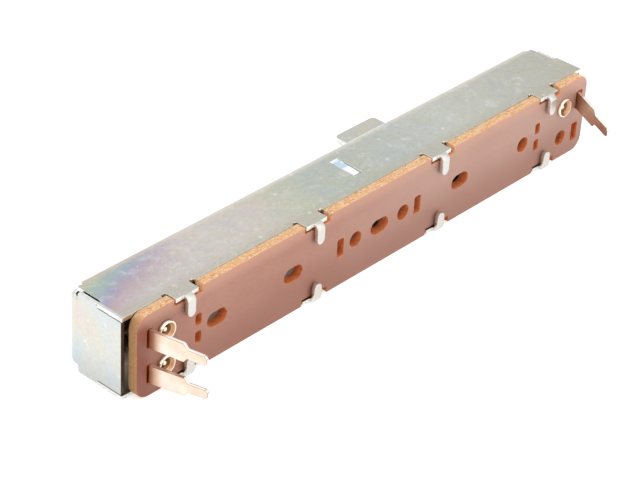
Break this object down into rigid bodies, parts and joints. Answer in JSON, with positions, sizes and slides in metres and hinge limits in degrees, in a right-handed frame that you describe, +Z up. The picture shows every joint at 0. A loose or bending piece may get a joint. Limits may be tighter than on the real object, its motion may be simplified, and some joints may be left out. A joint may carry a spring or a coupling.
{
  "type": "slide potentiometer",
  "caption": "Long slide potentiometer in a folded metal case, with a flat lever through the front slot, a riveted board behind and solder terminals at both ends.",
  "frame": {"origin": "centre of the lower side wall's outer face, half-way along the travel", "axes": "+X along the travel, from the end with two terminals to the end with one; +Y the way the lever points; +Z up, from the side wall it lies on"},
  "size_m": [0.075, 0.0231, 0.0101],
  "materials": {
    "zinc_plated_steel": "bright zinc plate, clear passivated",
    "phenolic_paper": "satin laminate with punched edges",
    "carbon_ink": "screen-printed carbon film",
    "silver_ink": "screen-printed silver film",
    "tinned_brass": "thin tin plate over brass",
    "brass": "bright rolled brass",
    "acetal": "moulded, satin",
    "lever_steel": "stamped and zinc plated",
    "phosphor_bronze": "rolled spring strip",
    "spring_steel": "rolled spring strip"
  },
  "bodies": {
    "housing": {"case": "zinc_plated_steel", "circuit_board": "phenolic_paper", "resistive_track": "carbon_ink", "silver_pad_near": "silver_ink", "silver_pad_far": "silver_ink", "collector_track": "silver_ink", "terminal_near_upper": "tinned_brass", "terminal_near_lower": "tinned_brass", "terminal_far": "tinned_brass", "rivet_near_upper": "brass", "rivet_near_lower": "brass", "rivet_far": "brass"},
    "slider": {"carriage": "acetal", "lever": "lever_steel", "wiper": "phosphor_bronze", "guide_spring": "spring_steel"}
  },
  "joints": [
    {"name": "slider_travel", "type": "slide", "parent": "housing", "child": "slider", "axis": [1, 0, 0], "range_m": [-0.0433, 0.0167]}
  ]
}
